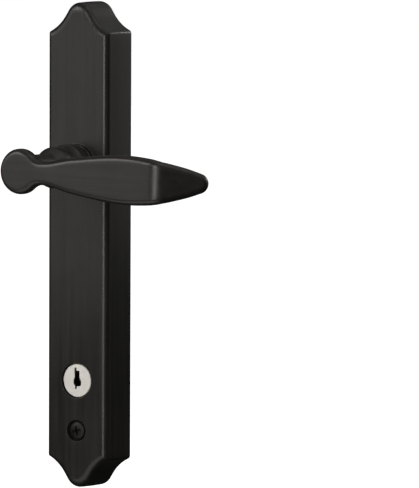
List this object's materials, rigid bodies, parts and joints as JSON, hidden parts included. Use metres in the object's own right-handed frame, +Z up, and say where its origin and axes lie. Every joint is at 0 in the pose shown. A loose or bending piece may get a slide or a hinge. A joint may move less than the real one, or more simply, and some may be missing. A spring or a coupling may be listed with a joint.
{
  "type": "door lever handle",
  "caption": "Black outside lever handle on a long narrow plate with pointed ends, with a key lock below, for a storm or screen door.",
  "frame": {"origin": "where the lever's axis meets the door's outside face, which is the plane of the plate's back rim", "axes": "+X to the right as seen from outside, along the lever; +Y into the door; +Z up along the plate"},
  "size_m": [0.1045, 0.0789, 0.2147],
  "materials": {
    "paint": "satin black",
    "nickel": "satin",
    "brass": "machined",
    "bronze": "sintered",
    "steel": "drawn",
    "zinc": "zinc plated"
  },
  "bodies": {
    "plate": {"escutcheon_plate": "paint", "plate_screw": "paint", "hub_bushing": "bronze", "thrust_washer": "steel", "return_spring": "steel", "spring_cover": "zinc", "cover_screw_upper": "zinc", "cover_screw_lower": "zinc", "lever_post_upper": "steel", "lever_post_lower": "steel", "lock_post": "steel", "lock_barrel": "brass", "chamber_cover": "brass", "barrel_retainer": "zinc", "retainer_screw_upper": "zinc", "retainer_screw_lower": "zinc", "driver_spring_1": "steel", "driver_spring_2": "steel", "driver_spring_3": "steel", "driver_spring_4": "steel", "driver_spring_5": "steel"},
    "lever": {"lever_handle": "paint", "return_cam": "zinc", "retaining_ring": "steel", "spindle_sleeve": "steel", "sleeve_pin": "steel"},
    "plug": {"lock_plug": "nickel", "plug_clip": "steel", "tail_driver": "brass", "tail_screw_left": "steel", "tail_screw_right": "steel"},
    "key_pin_body_1": {"key_pin_1": "brass"},
    "key_pin_body_2": {"key_pin_2": "brass"},
    "key_pin_body_3": {"key_pin_3": "brass"},
    "key_pin_body_4": {"key_pin_4": "brass"},
    "key_pin_body_5": {"key_pin_5": "brass"},
    "driver_pin_body_1": {"driver_pin_1": "steel"},
    "driver_pin_body_2": {"driver_pin_2": "steel"},
    "driver_pin_body_3": {"driver_pin_3": "steel"},
    "driver_pin_body_4": {"driver_pin_4": "steel"},
    "driver_pin_body_5": {"driver_pin_5": "steel"}
  },
  "joints": [
    {"name": "lever_turn", "type": "hinge", "parent": "plate", "child": "lever", "pos_m": [0, 0, 0], "axis": [0, 1, 0], "range_deg": [0, 55], "stiffness_Nm_per_rad": 0.5, "springref_deg": -40.11, "deforming": ["return_spring"]},
    {"name": "plug_turn", "type": "hinge", "parent": "plate", "child": "plug", "pos_m": [0, 0, -0.0948], "axis": [0, 1, 0], "range_deg": [-90, 90]},
    {"name": "key_pin_slide_1", "type": "slide", "parent": "plug", "child": "key_pin_body_1", "axis": [0, 0, 1], "range_m": [-0.0012, 0]},
    {"name": "key_pin_slide_2", "type": "slide", "parent": "plug", "child": "key_pin_body_2", "axis": [0, 0, 1], "range_m": [-0.0012, 0]},
    {"name": "key_pin_slide_3", "type": "slide", "parent": "plug", "child": "key_pin_body_3", "axis": [0, 0, 1], "range_m": [-0.0012, 0]},
    {"name": "key_pin_slide_4", "type": "slide", "parent": "plug", "child": "key_pin_body_4", "axis": [0, 0, 1], "range_m": [-0.0012, 0]},
    {"name": "key_pin_slide_5", "type": "slide", "parent": "plug", "child": "key_pin_body_5", "axis": [0, 0, 1], "range_m": [-0.0012, 0]},
    {"name": "driver_pin_slide_1", "type": "slide", "parent": "plate", "child": "driver_pin_body_1", "axis": [0, 0, 1], "range_m": [0, 0.0012], "stiffness_N_per_m": 150, "springref_m": -0.001, "deforming": ["driver_spring_1"]},
    {"name": "driver_pin_slide_2", "type": "slide", "parent": "plate", "child": "driver_pin_body_2", "axis": [0, 0, 1], "range_m": [0, 0.0012], "stiffness_N_per_m": 150, "springref_m": -0.001, "deforming": ["driver_spring_2"]},
    {"name": "driver_pin_slide_3", "type": "slide", "parent": "plate", "child": "driver_pin_body_3", "axis": [0, 0, 1], "range_m": [0, 0.0012], "stiffness_N_per_m": 150, "springref_m": -0.001, "deforming": ["driver_spring_3"]},
    {"name": "driver_pin_slide_4", "type": "slide", "parent": "plate", "child": "driver_pin_body_4", "axis": [0, 0, 1], "range_m": [0, 0.0012], "stiffness_N_per_m": 150, "springref_m": -0.001, "deforming": ["driver_spring_4"]},
    {"name": "driver_pin_slide_5", "type": "slide", "parent": "plate", "child": "driver_pin_body_5", "axis": [0, 0, 1], "range_m": [0, 0.0012], "stiffness_N_per_m": 150, "springref_m": -0.001, "deforming": ["driver_spring_5"]}
  ]
}
